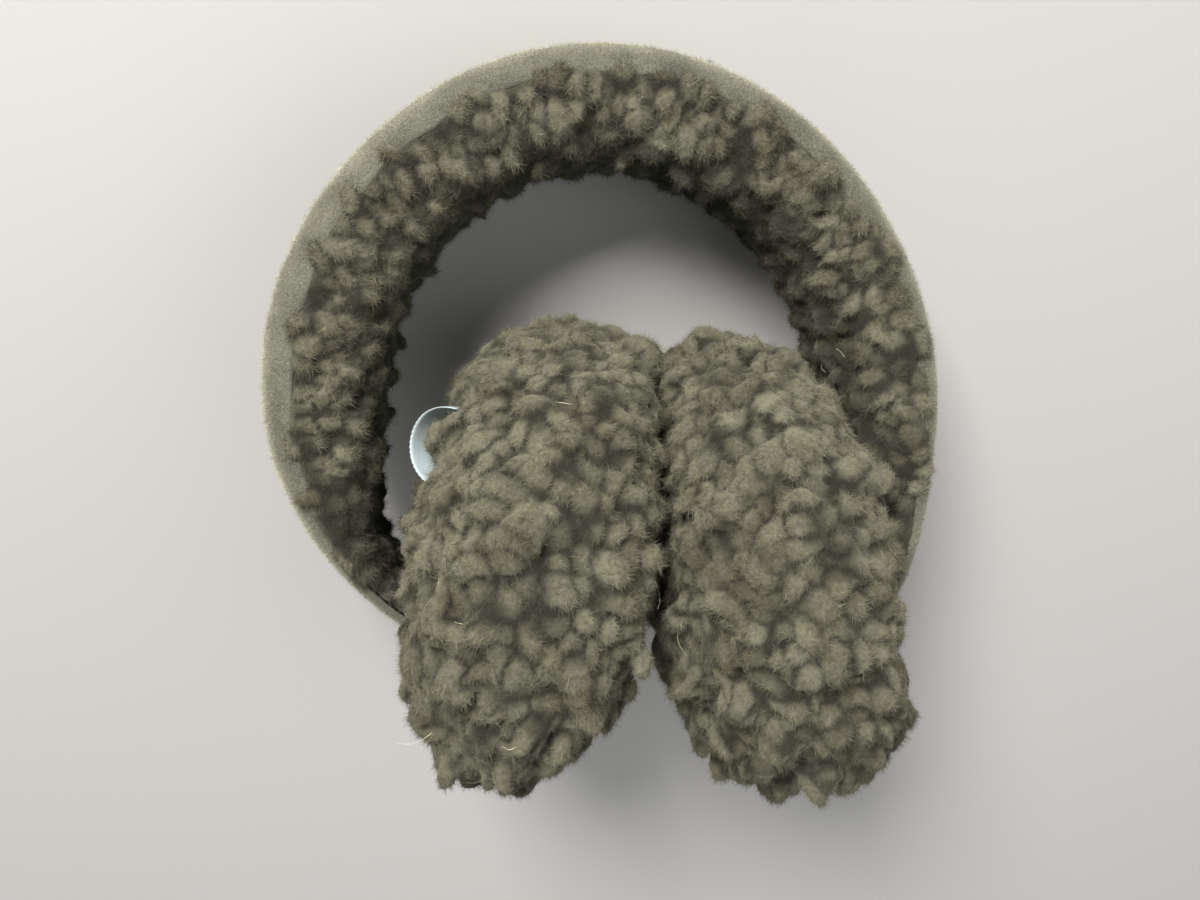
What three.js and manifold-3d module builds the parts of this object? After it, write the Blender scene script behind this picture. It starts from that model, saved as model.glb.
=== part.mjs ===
// Fur earmuffs: a round headband, suede outside and deep fleece inside, with a thick ear pad of
// curled fleece sewn inside each end and a ribbon loop in the side of the left pad.
// Lengths are in millimetres and angles in degrees. The pieces are shaped with the ring upright:
// X to the right and Y to the back, both as seen from the front, Z up, and the ring's centre at the
// origin. A group then lays them down as they come to rest by themselves, on the pads' rims and the
// ring's back edge.
import * as THREE from "three";
import { ConvexHull } from "three/addons/math/ConvexHull.js";
import { mergeVertices } from "three/addons/utils/BufferGeometryUtils.js";
import Module from "manifold-3d";

// Headband
const ringRadius = 81; // the suede's outside, at the top of the ring
const bandWidth = 45; // front to back
const bandDepth = 22; // the suede's inside to the floor of the fleece, at the top of the ring
const bandSquareness = 3; // 2 is an oval section, more is boxier
const suedeWall = 1.6;
const suedeTurn = 74; // how far the suede turns round the section, each way from its middle
const bandLockHeight = 4.5;
const bandLockSpacing = 12.6;

// Ear pads
const padRadius = 55; // to the floor of the fleece
const padThickness = 51; // likewise
const padSquareness = 2.5;
const padDrop = 43; // the left pad's centre below the ring's centre
const padStep = 3.5; // the right pad's centre below the left one's
const padTilt = 11; // the pads lean together at the top
const padShift = 11.5; // from the ring's centre to the side, to where the pads meet
const padPress = 4; // how deep each pad's fleece is pressed in where they meet
const padLockHeight = 5.5;
const padLockCount = 150;
const lockFall = 0.9; // how far the lowest locks hang over, as a share of their height

// Ribbon loop, in the left pad's side
const ribbonWidth = 11;
const ribbonWall = 1;
const loopHeight = 20; // between its two ends
const loopReach = 10; // from the floor of the pad's fleece to its outer bend
const loopRoot = 3; // how deep its ends go in below the floor of the fleece
const loopTurn = 40; // its width, turned from the ring's front-to-back towards the pad
const loopRise = 23; // its middle above the pad's centre
const loopFront = 10; // its middle in front of the pad's centre

// Clearances
const seamGap = 0.35; // between pieces that are sewn or pressed together
const padGap = 0.8; // between the two pads

// The ring from its right end over the top to its left end. Angles go round from the right, radius
// is a share of ringRadius, and depth and locks are shares of bandDepth and bandLockHeight.
const bandSections = [
  { angle: -43, radius: 1.14, depth: 0.28, locks: 0 },
  { angle: -35, radius: 1.14, depth: 0.32, locks: 0 },
  { angle: -26, radius: 1.11, depth: 0.5, locks: 0.5 },
  { angle: -14, radius: 1.07, depth: 0.84, locks: 1 },
  { angle: 0, radius: 1.045, depth: 0.96, locks: 1 },
  { angle: 20, radius: 1.01, depth: 0.98, locks: 1 },
  { angle: 45, radius: 0.995, depth: 1, locks: 1 },
  { angle: 90, radius: 1, depth: 1.03, locks: 1 },
  { angle: 135, radius: 1, depth: 1.02, locks: 1 },
  { angle: 170, radius: 1.025, depth: 1.06, locks: 1 },
  { angle: 192, radius: 1.03, depth: 0.94, locks: 1 },
  { angle: 206, radius: 1.01, depth: 0.6, locks: 0.6 },
  { angle: 216, radius: 0.99, depth: 0.34, locks: 0 },
  { angle: 229, radius: 0.97, depth: 0.28, locks: 0 },
];
const firstAngle = bandSections[0].angle;
const lastAngle = bandSections.at(-1).angle;

// The pads seen from the front, from the disc's bottom (-1) to its top (1). Thickness is a share of
// what an even disc has at that height, and shift a share of padThickness, to the right.
const leftPadOutline = [
  { height: -1, thickness: 0.8, shift: 0 },
  { height: -0.5, thickness: 1.03, shift: 0 },
  { height: 0, thickness: 1.04, shift: 0 },
  { height: 0.5, thickness: 1.04, shift: 0.03 },
  { height: 1, thickness: 1.3, shift: 0.12 },
];
const rightPadOutline = [
  { height: -1, thickness: 1.35, shift: 0.08 },
  { height: -0.5, thickness: 1.06, shift: 0 },
  { height: 0, thickness: 0.99, shift: 0 },
  { height: 0.5, thickness: 0.95, shift: 0 },
  { height: 1, thickness: 0.85, shift: -0.02 },
];

const suedeLook = { color: 0x6f6560, roughness: 0.95, metalness: 0 };
const fleeceLook = { color: 0x6e6656, roughness: 1, metalness: 0 };
const ribbonLook = { color: 0xbcd0d6, roughness: 0.5, metalness: 0 };

const radians = THREE.MathUtils.degToRad;
const { lerp, smoothstep } = THREE.MathUtils;

const wasm = await Module();
wasm.setup();

// The value of a table's column at x in its key column, on a smooth curve through the rows.
function fromTable(table, key, x, column) {
  const last = table.length - 1;
  let i = 0;
  while (i < last - 1 && table[i + 1][key] < x) i++;
  const slope = (low, high) =>
    (table[high][column] - table[low][column]) / (table[high][key] - table[low][key]);
  const width = table[i + 1][key] - table[i][key];
  const part = THREE.MathUtils.clamp((x - table[i][key]) / width, 0, 1);
  const slopeIn = slope(Math.max(i - 1, 0), i + 1) * width;
  const slopeOut = slope(i, Math.min(i + 2, last)) * width;
  const squared = part ** 2;
  const cubed = part ** 3;
  return (
    (2 * cubed - 3 * squared + 1) * table[i][column] +
    (cubed - 2 * squared + part) * slopeIn +
    (3 * squared - 2 * cubed) * table[i + 1][column] +
    (cubed - squared) * slopeOut
  );
}

// A point on the outline of a rounded box of half sizes a and b, at turn t in radians.
function roundedOutline(a, b, squareness, t) {
  const power = (c) => Math.sign(c) * Math.abs(c) ** (2 / squareness);
  return [a * power(Math.cos(t)), b * power(Math.sin(t))];
}

// How far that outline reaches along a direction at an angle from a's axis.
function roundedReach(a, b, squareness, angle) {
  const dual = squareness / (squareness - 1);
  const alongA = Math.abs(a * Math.cos(angle)) ** dual;
  const alongB = Math.abs(b * Math.sin(angle)) ** dual;
  return (alongA + alongB) ** (1 / dual);
}

// Measures an outline from turn to turn, and gives the turn at each share of its length. Lengths
// count by their weight.
function evenTurns(outline, from, to, weigh = () => 1) {
  const steps = 720;
  const turnOf = (i) => lerp(from, to, i / steps);
  const lengths = [0];
  for (let i = 1; i <= steps; i++) {
    const before = outline(turnOf(i - 1));
    const here = outline(turnOf(i));
    const step = Math.hypot(here[0] - before[0], here[1] - before[1]);
    lengths.push(lengths[i - 1] + step * weigh(here));
  }
  return (share) => {
    const wanted = share * lengths[steps];
    let i = 1;
    while (i < steps && lengths[i] < wanted) i++;
    return turnOf(i - 1 + (wanted - lengths[i - 1]) / (lengths[i] - lengths[i - 1]));
  };
}

// A geometry from a list of points and of triples of their numbers.
function geometryOf(points, faces) {
  const flat = new Float32Array(points.flatMap((p) => p.toArray()));
  const geometry = new THREE.BufferGeometry();
  geometry.setAttribute("position", new THREE.BufferAttribute(flat, 3));
  geometry.setIndex(faces.flat());
  return geometry;
}

// A fleece skin as one closed body of cells. Each cell has a ring of floor points that it shares
// with its neighbours, and a seat. Where it has a height, it rises over a shoulder to a tip, as one
// lock of wool.
function fleeceGeometry(floor, cells) {
  const shoulderSpread = 0.68;
  const shoulderRise = 0.84;
  const points = floor.map((p) => p.clone());
  const faces = [];
  for (const { seat, out, lean, height, ring } of cells) {
    const tip = points.length;
    const corners = ring.map((r, k) => [r, ring[(k + 1) % ring.length], k, (k + 1) % ring.length]);
    if (height === 0) {
      points.push(seat.clone());
      for (const [r, following] of corners) faces.push([r, following, tip]);
      continue;
    }
    const rise = out.clone().add(lean).multiplyScalar(height);
    points.push(seat.clone().add(rise));
    for (const r of ring) {
      const foot = seat.clone().lerp(floor[r], shoulderSpread);
      points.push(foot.addScaledVector(rise, shoulderRise));
    }
    const shoulder = tip + 1;
    for (const [r, following, k, next] of corners) {
      faces.push([r, following, shoulder + next]);
      faces.push([r, shoulder + next, shoulder + k]);
      faces.push([shoulder + k, shoulder + next, tip]);
    }
  }
  return geometryOf(points, faces);
}

// A closed geometry through rings of points, each with as many points, and flat ends.
function sweptGeometry(rings) {
  const around = rings[0].length;
  const faces = [];
  for (let i = 0; i + 1 < rings.length; i++)
    for (let k = 0; k < around; k++) {
      const a = i * around + k;
      const b = i * around + ((k + 1) % around);
      faces.push([a, b, b + around], [a, b + around, a + around]);
    }
  const last = (rings.length - 1) * around;
  for (const [a, b, c] of THREE.ShapeUtils.triangulateShape(flatOutline(rings[0]), []))
    faces.push([a, c, b], [last + a, last + b, last + c]);
  return geometryOf(rings.flat(), faces);
}

// A ring's points in their own plane.
function flatOutline(ring) {
  const normal = new THREE.Vector3();
  ring.forEach((p, k) => normal.add(p.clone().cross(ring[(k + 1) % ring.length])));
  const side = ring[1].clone().sub(ring[0]).normalize();
  const up = normal.normalize().cross(side);
  return ring.map((p) => new THREE.Vector2(p.dot(side), p.dot(up)));
}

function solidOf(geometry) {
  const bare = geometry.clone();
  bare.deleteAttribute("normal");
  bare.deleteAttribute("uv");
  const merged = mergeVertices(bare, 1e-4);
  return new wasm.Manifold(
    new wasm.Mesh({
      numProp: 3,
      vertProperties: merged.attributes.position.array,
      triVerts: new Uint32Array(merged.index.array),
    }),
  );
}

// A geometry less the cutters. Tips of locks that the cuts leave loose fall away.
function cutGeometry(geometry, cutters) {
  let solid = solidOf(geometry);
  for (const cutter of cutters) solid = solid.subtract(solidOf(cutter));
  const pieces = solid.decompose().sort((a, b) => b.volume() - a.volume());
  const made = pieces[0].getMesh();
  const cut = new THREE.BufferGeometry();
  cut.setAttribute("position", new THREE.BufferAttribute(made.vertProperties, 3));
  cut.setIndex(new THREE.BufferAttribute(made.triVerts, 1));
  return cut;
}

// A point on the band at an angle round the ring and turn t round its section, in radians, where 0
// is the middle of the outside. The fleece's floor is grown by a distance, to all sides.
function bandPoint(angle, t, grown) {
  const outside = ringRadius * fromTable(bandSections, "angle", angle, "radius");
  const halfDepth = (bandDepth * fromTable(bandSections, "angle", angle, "depth")) / 2;
  const halfWidth = bandWidth / 2 - suedeWall - seamGap;
  const middle = outside - suedeWall - seamGap - halfDepth;
  const [out, back] = roundedOutline(halfDepth + grown, halfWidth + grown, bandSquareness, t);
  const spoke = new THREE.Vector3(Math.cos(radians(angle)), 0, Math.sin(radians(angle)));
  return spoke.multiplyScalar(middle + out).setY(back);
}

// Rows round the band's section, counted from the middle of its inside. On each side, bareRows even
// steps lead to the suede's edge, and coveredRows from there to the middle of the outside.
const nominalOutline = (t) => roundedOutline(bandDepth / 2, bandWidth / 2, bandSquareness, t);
const suedeEdge = radians(suedeTurn);
const bareTurn = evenTurns(nominalOutline, Math.PI, suedeEdge + seamGap / (bandDepth / 2));
const coveredTurn = evenTurns(nominalOutline, suedeEdge, 0);
const rowsAlong = (turn, to) => {
  const [out, back] = nominalOutline(turn);
  const [outTo, backTo] = nominalOutline(to);
  return Math.round((Math.abs(outTo - out) + Math.abs(backTo - back)) / (bandLockSpacing / 2));
};
const bareRows = rowsAlong(Math.PI, suedeEdge);
const coveredRows = rowsAlong(suedeEdge, 0);
const bandRows = 2 * (bareRows + coveredRows);

// How many rows lie between a row and the middle of the inside, on its own side.
const rowsIn = (row) => Math.min(row, bandRows - row);

// A row's turn round the section.
function rowTurn(row) {
  const inside = rowsIn(row);
  const turn =
    inside <= bareRows
      ? bareTurn(inside / bareRows)
      : coveredTurn((inside - bareRows) / coveredRows);
  return row <= bandRows / 2 ? -turn : turn;
}

// The suede: a thin wall round the outside of the band, turned in over its front and back edges. Its
// inside follows the rows of the fleece under it.
function suedeGeometry() {
  const lengthSteps = 44;
  const outerSteps = 6;
  const innerTurns = [-suedeEdge];
  for (let row = bareRows + 1; row < bandRows - bareRows; row++) innerTurns.push(rowTurn(row));
  innerTurns.push(suedeEdge);
  const outerTurn = evenTurns(nominalOutline, -suedeEdge, suedeEdge);
  const rings = [];
  for (let i = 0; i <= lengthSteps; i++) {
    const angle = lerp(firstAngle, lastAngle, i / lengthSteps);
    const inner = innerTurns.map((t) => bandPoint(angle, t, seamGap));
    const outer = [];
    for (let k = 0; k <= outerSteps; k++)
      outer.push(bandPoint(angle, outerTurn(k / outerSteps), seamGap + suedeWall));
    rings.push([...outer, ...inner.reverse()]);
  }
  return sweptGeometry(rings);
}

// The band's fleece: columns of cells round its section, each column half a cell on from the last.
// Two floor points stand between columns in each row. Cells under the suede stay smooth.
function bandFleeceGeometry() {
  const reach = radians(lastAngle - firstAngle) * (ringRadius - bandDepth / 2);
  const columns = Math.round(reach / (bandLockSpacing * Math.sin(radians(60))));
  const angleAt = (u) => lerp(firstAngle, lastAngle, (u + 0.5) / columns);
  const floor = [];
  for (let gap = -1; gap < columns; gap++)
    for (let row = 0; row < bandRows; row++) {
      const inGap = gap + ((row + gap) % 2 === 0 ? 2 / 3 : 1 / 3);
      const atEnd = gap < 0 || gap === columns - 1;
      floor.push(bandPoint(angleAt(atEnd ? gap + 0.5 : inGap), rowTurn(row), 0));
    }
  const floorAt = (gap, row) => (gap + 1) * bandRows + ((row + bandRows) % bandRows);
  const cells = [];
  for (let column = 0; column < columns; column++)
    for (let row = column % 2; row < bandRows; row += 2) {
      const angle = angleAt(column);
      const seat = bandPoint(angle, rowTurn(row), 0);
      const out = bandPoint(angle, rowTurn(row), 1).sub(seat).normalize();
      const bare = rowsIn(row) < bareRows;
      const share = fromTable(bandSections, "angle", angle, "locks");
      const height = bare && share > 0.05 ? bandLockHeight * share : 0;
      const ring = [
        floorAt(column, row),
        floorAt(column, row - 1),
        floorAt(column - 1, row - 1),
        floorAt(column - 1, row),
        floorAt(column - 1, row + 1),
        floorAt(column, row + 1),
      ];
      cells.push({ seat, out, lean: new THREE.Vector3(), height, ring });
    }
  const rows = [...Array(bandRows).keys()];
  const endSeat = (angle) =>
    bandPoint(angle, 0, 0).add(bandPoint(angle, Math.PI, 0)).multiplyScalar(0.5);
  const none = new THREE.Vector3();
  cells.push({
    seat: endSeat(firstAngle),
    out: none,
    lean: none,
    height: 0,
    ring: rows.map((row) => floorAt(-1, row)).reverse(),
  });
  cells.push({
    seat: endSeat(lastAngle),
    out: none,
    lean: none,
    height: 0,
    ring: rows.map((row) => floorAt(columns - 1, row)),
  });
  return fleeceGeometry(floor, cells);
}

// The room that the band takes up, its locks and a clearance included: what a pad's fleece gives
// way to where the band is sewn on it.
function bandRoomGeometry() {
  const lengthSteps = 48;
  const around = 24;
  const chordAllowance = 0.4;
  const rings = [];
  for (let i = 0; i <= lengthSteps; i++) {
    const past = 1.5; // degrees beyond the band's ends
    const angle = lerp(firstAngle - past, lastAngle + past, i / lengthSteps);
    const locks = bandLockHeight * fromTable(bandSections, "angle", angle, "locks");
    const grown = seamGap + chordAllowance + Math.max(seamGap + suedeWall, locks);
    const ring = [];
    for (let k = 0; k < around; k++)
      ring.push(bandPoint(angle, lerp(-Math.PI, Math.PI, k / around), grown));
    rings.push(ring);
  }
  return sweptGeometry(rings);
}

// Half of a pad's thickness and its radius, with the locks.
const padHalf = padThickness / 2 + padLockHeight;
const padRim = padRadius + padLockHeight;

// A pad's place: side is -1 for the left pad and 1 for the right one.
function placePad(mesh, side) {
  const reach = roundedReach(padHalf, padRim, padSquareness, radians(padTilt));
  const drop = side < 0 ? padDrop : padDrop + padStep;
  mesh.position.set(padShift + side * (reach - padPress), 0, -drop);
  mesh.rotation.y = -side * radians(padTilt);
  mesh.updateMatrix();
}

// The floor of a pad's fleece at turn t from its inner face's middle and at an angle round its axis,
// with the direction out of it.
function padFloor(t, around) {
  const [along, radius] = roundedOutline(padThickness / 2, padRadius, padSquareness, t);
  const seat = new THREE.Vector3(along, radius * Math.cos(around), radius * Math.sin(around));
  const steep = (length, size) =>
    (Math.sign(length) * Math.abs(length / size) ** (padSquareness - 1)) / size;
  const outward = steep(radius, padRadius);
  const out = new THREE.Vector3(
    steep(along, padThickness / 2),
    outward * Math.cos(around),
    outward * Math.sin(around),
  ).normalize();
  return { seat, out };
}

// Moves a point of an even pad to the photographed outline of the left or right pad.
function shapePad(p, outline) {
  const height = THREE.MathUtils.clamp(p.z / padRim, -1, 1);
  p.x *= fromTable(outline, "height", height, "thickness");
  p.x += padThickness * fromTable(outline, "height", height, "shift");
  return p;
}

// A pad of fleece about its own centre, with its axis along X: locks spread evenly over it, the low
// ones hanging over. side is -1 or 1 as in placePad, and pressed says how points give way.
function padGeometry(side, pressed) {
  const outline = side < 0 ? leftPadOutline : rightPadOutline;
  const goldenAngle = Math.PI * (3 - Math.sqrt(5));
  const turnAt = evenTurns(
    (t) => roundedOutline(padThickness / 2, padRadius, padSquareness, t),
    0,
    Math.PI,
    ([, radius]) => radius,
  );
  const cells = [];
  for (let i = 0; i < padLockCount; i++) {
    const around = -side * i * goldenAngle;
    const { seat, out } = padFloor(turnAt((i + 0.5) / padLockCount), around);
    const low = smoothstep(-seat.z / padRadius, 0.1, 1);
    const lean = new THREE.Vector3(0, 0, -lockFall * low);
    seat.x *= -side;
    out.x *= -side;
    cells.push({ seat, out, lean, height: padLockHeight, ring: [] });
  }
  const numberOf = new Map(cells.map((cell, i) => [cell.seat, i]));
  const hull = new ConvexHull().setFromPoints(cells.map((cell) => cell.seat));
  const floor = hull.faces.map((face, f) => {
    const middle = new THREE.Vector3();
    for (let k = 0; k < 3; k++) {
      const { point } = face.getEdge(k).head();
      middle.addScaledVector(point, 1 / 3);
      cells[numberOf.get(point)].ring.push(f);
    }
    return middle;
  });
  for (const { seat, out, ring } of cells) {
    const side1 = floor[ring[0]].clone().sub(seat).projectOnPlane(out).normalize();
    const side2 = out.clone().cross(side1);
    const angleOf = (f) => {
      const spoke = floor[f].clone().sub(seat);
      return Math.atan2(spoke.dot(side2), spoke.dot(side1));
    };
    ring.sort((a, b) => angleOf(a) - angleOf(b));
  }
  const geometry = fleeceGeometry(floor, cells);
  const places = geometry.attributes.position;
  const p = new THREE.Vector3();
  for (let i = 0; i < places.count; i++) {
    pressed(shapePad(p.fromBufferAttribute(places, i), outline));
    places.setXYZ(i, p.x, p.y, p.z);
  }
  return geometry;
}

// The ribbon's loop, or the room that it takes up when grown: a flat strip bent round in the plane
// of X, outwards, and Z, with its width along Y.
function ribbonGeometry(grown) {
  const steps = 20;
  const halfWall = ribbonWall / 2 + grown;
  const halfWidth = ribbonWidth / 2 + grown;
  const middleAt = (share) => {
    const bend = lerp(-Math.PI / 2, Math.PI / 2, share);
    const out = (loopReach + loopRoot) * Math.cos(bend) ** 0.8 - loopRoot;
    return new THREE.Vector3(out, 0, (loopHeight / 2) * Math.sin(bend));
  };
  const rings = [];
  const nearly = 1e-3;
  for (let i = 0; i <= steps; i++) {
    const share = i / steps;
    const middle = middleAt(share);
    const along = middleAt(Math.min(share + nearly, 1)).sub(middleAt(Math.max(share - nearly, 0)));
    const wall = new THREE.Vector3(along.z, 0, -along.x).setLength(halfWall);
    const width = new THREE.Vector3(0, halfWidth, 0);
    const corner = (a, b) => middle.clone().addScaledVector(wall, a).addScaledVector(width, b);
    rings.push([corner(-1, -1), corner(1, -1), corner(1, 1), corner(-1, 1)]);
  }
  return sweptGeometry(rings);
}

// Where the floor of the left pad's fleece lies on its outer side, at y and z from its centre.
function padFace(y, z) {
  const from = Math.hypot(y, z) / padRadius;
  const half = (padThickness / 2) * (1 - from ** padSquareness) ** (1 / padSquareness);
  return shapePad(new THREE.Vector3(-half, y, z), leftPadOutline).x;
}

// Moves a point of a pad's fleece aside, so that it stays on its own side of where the pads meet.
// place is the pad's matrix in the ring's frame, and back is its inverse.
function pressPoint(p, place, back, side) {
  const softness = 1.2;
  p.applyMatrix4(place);
  const room = side * (p.x - padShift) - padGap / 2;
  const kept = softness * Math.log1p(Math.exp(room / softness));
  p.x = padShift + side * (padGap / 2 + kept);
  p.applyMatrix4(back);
}

// Where a growing function passes zero between low and high.
function crossing(low, high, growing) {
  for (let i = 0; i < 30; i++) {
    const middle = (low + high) / 2;
    if (growing(middle) < 0) low = middle;
    else high = middle;
  }
  return (low + high) / 2;
}

// Turns the ring from upright onto its back until the band and both pads touch the ground together,
// with its top to +Y. The box round it ends with its middle on the origin, on the ground.
function layDown(upright) {
  upright.updateMatrixWorld(true);
  const points = { band: [], left: [], right: [] };
  upright.traverse((object) => {
    if (!object.isMesh) return;
    const places = object.geometry.attributes.position;
    const sideways = object.name.endsWith("right") ? "right" : "left";
    const list = points[object.name.startsWith("headband") ? "band" : sideways];
    for (let i = 0; i < places.count; i++)
      list.push(new THREE.Vector3().fromBufferAttribute(places, i).applyMatrix4(object.matrixWorld));
  });
  const lying = (slope, roll) => new THREE.Euler(-(Math.PI / 2 + slope), 0, roll);
  const lowest = (list, slope, roll) => {
    const turn = new THREE.Quaternion().setFromEuler(lying(slope, roll));
    const up = new THREE.Vector3(0, 0, 1).applyQuaternion(turn.invert());
    return list.reduce((low, p) => Math.min(low, p.dot(up)), 0);
  };
  const slopeFor = (roll) =>
    crossing(0, Math.PI / 3, (slope) => {
      const pads = Math.min(lowest(points.left, slope, roll), lowest(points.right, slope, roll));
      return pads - lowest(points.band, slope, roll);
    });
  const mostRoll = radians(15);
  const roll = crossing(-mostRoll, mostRoll, (r) => {
    const slope = slopeFor(r);
    return lowest(points.left, slope, r) - lowest(points.right, slope, r);
  });
  upright.rotation.copy(lying(slopeFor(roll), roll));
  upright.updateMatrixWorld(true);
  const box = new THREE.Box3().setFromObject(upright, true);
  const middle = box.getCenter(new THREE.Vector3());
  upright.position.set(-middle.x, -middle.y, -box.min.z);
}

function named(name, geometry, look) {
  const mesh = new THREE.Mesh(geometry, new THREE.MeshStandardMaterial(look));
  mesh.name = name;
  return mesh;
}

const ring = new THREE.Group();
ring.add(named("headband_suede", suedeGeometry(), suedeLook));
ring.add(named("headband_fleece", bandFleeceGeometry(), fleeceLook));

const bandRoom = bandRoomGeometry();
for (const [name, side] of [["ear_pad_left", -1], ["ear_pad_right", 1]]) {
  const place = new THREE.Group();
  placePad(place, side);
  const back = place.matrix.clone().invert();
  const cutters = [bandRoom.clone().applyMatrix4(back)];
  if (side < 0) {
    const loop = named("label_loop", ribbonGeometry(0), ribbonLook);
    loop.position.set(padFace(-loopFront, loopRise), -loopFront, loopRise);
    loop.rotation.z = Math.PI - radians(loopTurn);
    loop.updateMatrix();
    cutters.push(ribbonGeometry(seamGap).applyMatrix4(loop.matrix));
    place.add(loop);
  }
  const whole = padGeometry(side, (p) => pressPoint(p, place.matrix, back, side));
  place.add(named(name, cutGeometry(whole, cutters), fleeceLook));
  ring.add(place);
}

layDown(ring);

const earmuffs = new THREE.Group();
earmuffs.add(ring);
export default earmuffs;
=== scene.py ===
"""Sheepskin earmuffs in Blender: curled fleece pads, a suede headband lined with fleece, and a ribbon loop.

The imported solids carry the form. Their skins swell to packed curls, free locks are fused in, and fibres
are laid over the wool. Lengths in the settings are in metres, as in the frame.
"""

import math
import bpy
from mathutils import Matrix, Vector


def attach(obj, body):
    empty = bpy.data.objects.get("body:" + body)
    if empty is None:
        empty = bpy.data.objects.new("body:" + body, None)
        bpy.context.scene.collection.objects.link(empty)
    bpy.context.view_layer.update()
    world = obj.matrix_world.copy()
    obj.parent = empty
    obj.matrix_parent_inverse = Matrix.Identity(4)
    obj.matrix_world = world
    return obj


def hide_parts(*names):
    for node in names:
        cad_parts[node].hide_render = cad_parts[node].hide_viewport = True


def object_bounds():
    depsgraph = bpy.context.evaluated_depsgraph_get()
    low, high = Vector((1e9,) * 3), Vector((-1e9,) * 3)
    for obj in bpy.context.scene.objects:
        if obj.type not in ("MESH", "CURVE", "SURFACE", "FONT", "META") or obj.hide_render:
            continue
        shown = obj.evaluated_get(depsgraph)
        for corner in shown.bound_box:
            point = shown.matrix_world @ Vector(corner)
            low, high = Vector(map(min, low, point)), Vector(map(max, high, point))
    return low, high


bl_info = {
    "name": "Sheepskin Earmuffs",
    "version": (1, 0, 0),
    "blender": (4, 5, 0),
    "location": "3D View > Sidebar > Earmuffs",
    "description": "Earmuffs of curled sheepskin with a suede band and a ribbon loop",
    "category": "Object",
}

import bpy
import numpy as np
from mathutils import Matrix, Vector, noise
from mathutils.bvhtree import BVHTree
from mathutils.kdtree import KDTree

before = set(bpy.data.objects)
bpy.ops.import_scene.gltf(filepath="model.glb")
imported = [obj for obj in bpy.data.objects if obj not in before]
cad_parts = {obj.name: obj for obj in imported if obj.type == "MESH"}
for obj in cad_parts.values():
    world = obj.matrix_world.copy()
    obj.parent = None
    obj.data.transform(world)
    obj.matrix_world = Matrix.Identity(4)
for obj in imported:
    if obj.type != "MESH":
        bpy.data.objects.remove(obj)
CAD_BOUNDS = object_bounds()
MM = 0.001

# Without a seed the noise changes from run to run.
noise.seed_set(4)

# The ring stands upright in its own frame: X to the right, Y to the back, Z up, its centre at the
# origin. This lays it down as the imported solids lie.
RING_CENTRE = Vector((-0.7823, 14.1057, 45.4913)) * MM
RING_SLOPE = math.radians(-109.1755)
RING_ROLL = math.radians(0.5836)
RING = (
    Matrix.Translation(RING_CENTRE)
    @ Matrix.Rotation(RING_SLOPE, 4, "X")
    @ Matrix.Rotation(RING_ROLL, 4, "Z")
)

# Each pad's centre in the ring's frame and its lean, and the loop's place in the left pad's frame.
PADS = {
    "left": {"centre": Vector((-18.4278, 0, -43)) * MM, "lean": math.radians(11)},
    "right": {"centre": Vector((41.4278, 0, -46.5)) * MM, "lean": math.radians(-11)},
}
LOOP_CENTRE = Vector((-23.6176, -10, 23)) * MM
LOOP_TURN = math.radians(140)
PAD_RADIUS = 60 * MM

# The band's section and its course round the ring, by angle from the right, as in the solids.
RING_RADIUS = 81 * MM
BAND_WIDTH = 45 * MM
BAND_DEPTH = 22 * MM
BAND_SQUARENESS = 3
SUEDE_WALL = 1.6 * MM
SEAM_GAP = 0.35 * MM
BAND_SECTIONS = [
    {"angle": -43, "radius": 1.14, "depth": 0.28},
    {"angle": -35, "radius": 1.14, "depth": 0.32},
    {"angle": -26, "radius": 1.11, "depth": 0.5},
    {"angle": -14, "radius": 1.07, "depth": 0.84},
    {"angle": 0, "radius": 1.045, "depth": 0.96},
    {"angle": 20, "radius": 1.01, "depth": 0.98},
    {"angle": 45, "radius": 0.995, "depth": 1},
    {"angle": 90, "radius": 1, "depth": 1.03},
    {"angle": 135, "radius": 1, "depth": 1.02},
    {"angle": 170, "radius": 1.025, "depth": 1.06},
    {"angle": 192, "radius": 1.03, "depth": 0.94},
    {"angle": 206, "radius": 1.01, "depth": 0.6},
    {"angle": 216, "radius": 0.99, "depth": 0.34},
    {"angle": 229, "radius": 0.97, "depth": 0.28},
]

# The grooves between the curls, painted dark as shade: how high over the skin they are looked for, and how
# sharp their painted shade is.
GROOVE_HEIGHT = 2.5 * MM
GROOVE_SHADE_POWER = 3.4
FLOOR_GAP = 0.1 * MM

# What each group of pieces starts its random draws from.
PAD_SEEDS = {"left": 11, "right": 12}
BAND_SEED = 21
NAP_SEED = 31

# The photograph in pixels: its width, and how far the ring's centre is above and right of its middle.
PHOTO_WIDTH = 1200
PHOTO_UP = 72
PHOTO_RIGHT = 1
SENSOR_WIDTH = 36


def pad_matrix(side):
    """The place of a pad in the frame."""
    pad = PADS[side]
    return RING @ Matrix.Translation(pad["centre"]) @ Matrix.Rotation(pad["lean"], 4, "Y")


# Arrays


def unit(vectors):
    """Rows of vectors at length 1."""
    return vectors / np.maximum(np.linalg.norm(vectors, axis=-1, keepdims=True), 1e-12)


def ease(low, high, values):
    """0 below low, 1 above high and smooth between."""
    part = np.clip((np.asarray(values) - low) / (high - low), 0, 1)
    return part * part * (3 - 2 * part)


def moved(matrix, points):
    """Points moved by a matrix."""
    turn = np.array(matrix.to_3x3())
    return points @ turn.T + np.array(matrix.translation)


def turned(matrix, vectors):
    """Directions turned by a matrix."""
    return vectors @ np.array(matrix.to_3x3()).T


def drift(points, size, seed):
    """A smooth random vector at each point, each part from about -1 to 1."""
    shift = Vector((seed * 7.31, seed * 3.17, seed * 5.53))
    return np.array([noise.noise_vector(Vector(p) / size + shift) for p in points.tolist()])


# Meshes


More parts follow.
